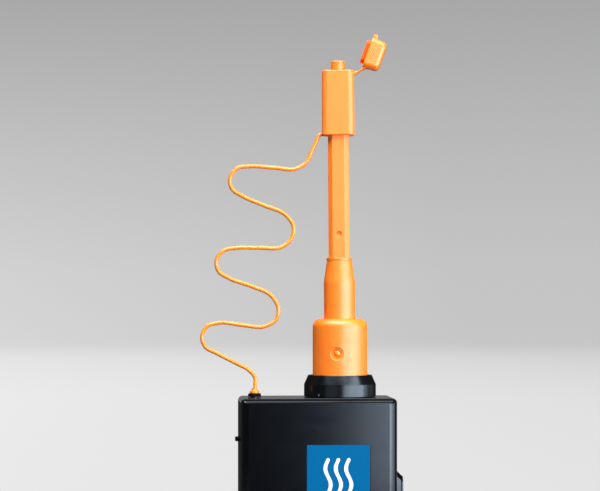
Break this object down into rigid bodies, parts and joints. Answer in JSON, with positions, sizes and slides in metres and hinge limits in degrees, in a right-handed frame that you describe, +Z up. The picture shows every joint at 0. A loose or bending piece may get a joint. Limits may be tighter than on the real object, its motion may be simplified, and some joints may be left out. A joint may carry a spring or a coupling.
{
  "type": "portable gas detector",
  "caption": "Hand-held gas detector: flat black casing with display and keys, telescopic orange sampling wand with flip cap, and a preformed zig-zag sample line.",
  "frame": {"origin": "middle of the casing's flat base", "axes": "+Z up along the casing and the wand; the front with display and label faces -Y; +X is to the viewer's right"},
  "size_m": [0.1302, 0.0575, 0.4247],
  "materials": {
    "black_plastic": "moulded, satin, slightly glossy",
    "orange_plastic": "moulded, satin gloss",
    "black_rubber": "matt",
    "blue_label": "printed, satin",
    "clear_window": "clear, polished",
    "red_lens": "clear gloss",
    "grey_key": "matt",
    "red_key": "matt",
    "steel": "satin",
    "brass": "turned",
    "green_board": "solder resist",
    "white_plastic": "moulded",
    "battery_wrap": "shrink wrap"
  },
  "bodies": {
    "casing": {"rear_shell": "black_plastic", "front_shell": "black_plastic", "shell_gasket": "black_rubber", "label_plate": "blue_label", "display_window": "clear_window", "lcd_module": "steel", "alarm_lens": "red_lens", "keypad_mat": "black_rubber", "main_board": "green_board", "sounder": "black_rubber", "battery_pack": "battery_wrap", "battery_door": "black_plastic", "door_screw_1": "steel", "door_screw_2": "steel", "case_screw_1": "steel", "case_screw_2": "steel", "case_screw_3": "steel", "case_screw_4": "steel", "sensor_block": "white_plastic", "sensor_cell": "steel", "sample_pump": "black_rubber", "pump_motor": "steel", "inlet_fitting": "brass", "inlet_hose": "white_plastic", "pump_hose": "white_plastic", "line_grommet": "black_rubber", "line_ferrule": "orange_plastic", "sample_line": "orange_plastic", "collar": "black_plastic", "collar_nut": "black_plastic", "guide_tube": "black_plastic", "lock_liner": "steel", "base_sleeve": "orange_plastic", "wiper_seal": "black_rubber", "taper_guide": "orange_plastic", "side_pod": "black_plastic", "pod_cover": "black_plastic", "side_switch": "black_rubber"},
    "wand": {"wand_rod": "orange_plastic", "rod_foot": "black_rubber", "head_block": "orange_plastic", "nozzle": "orange_plastic", "filter_disc": "white_plastic"},
    "cap": {"flip_cap": "orange_plastic"},
    "lock_button": {"lock_button": "orange_plastic", "lock_button_spring": "steel"},
    "side_button": {"side_button": "black_rubber", "side_button_spring": "steel"},
    "menu_key": {"menu_key": "grey_key"},
    "power_key": {"power_key": "red_key"},
    "zero_key": {"zero_key": "grey_key"}
  },
  "joints": [
    {"name": "wand_slide", "type": "slide", "parent": "casing", "child": "wand", "axis": [-0.007, 0, 1], "range_m": [-0.0771, 0], "deforming": ["sample_line"]},
    {"name": "cap_hinge", "type": "hinge", "parent": "wand", "child": "cap", "pos_m": [0.02757, -0.00143, 0.40054], "axis": [-0.1045, -0.9945, -0.0007], "range_deg": [-35, 110.4]},
    {"name": "lock_button_press", "type": "slide", "parent": "casing", "child": "lock_button", "axis": [0.1908, 0.9816, 0], "range_m": [0, 0.0015], "stiffness_N_per_m": 400, "springref_m": -0.001},
    {"name": "side_button_press", "type": "slide", "parent": "casing", "child": "side_button", "axis": [1, 0, 0], "range_m": [0, 0.001], "stiffness_N_per_m": 400, "springref_m": -0.0006},
    {"name": "menu_key_press", "type": "slide", "parent": "casing", "child": "menu_key", "axis": [0, 1, 0], "range_m": [0, 0.0008], "stiffness_N_per_m": 500, "springref_m": -0.0005},
    {"name": "power_key_press", "type": "slide", "parent": "casing", "child": "power_key", "axis": [0, 1, 0], "range_m": [0, 0.0008], "stiffness_N_per_m": 500, "springref_m": -0.0005},
    {"name": "zero_key_press", "type": "slide", "parent": "casing", "child": "zero_key", "axis": [0, 1, 0], "range_m": [0, 0.0008], "stiffness_N_per_m": 500, "springref_m": -0.0005}
  ]
}
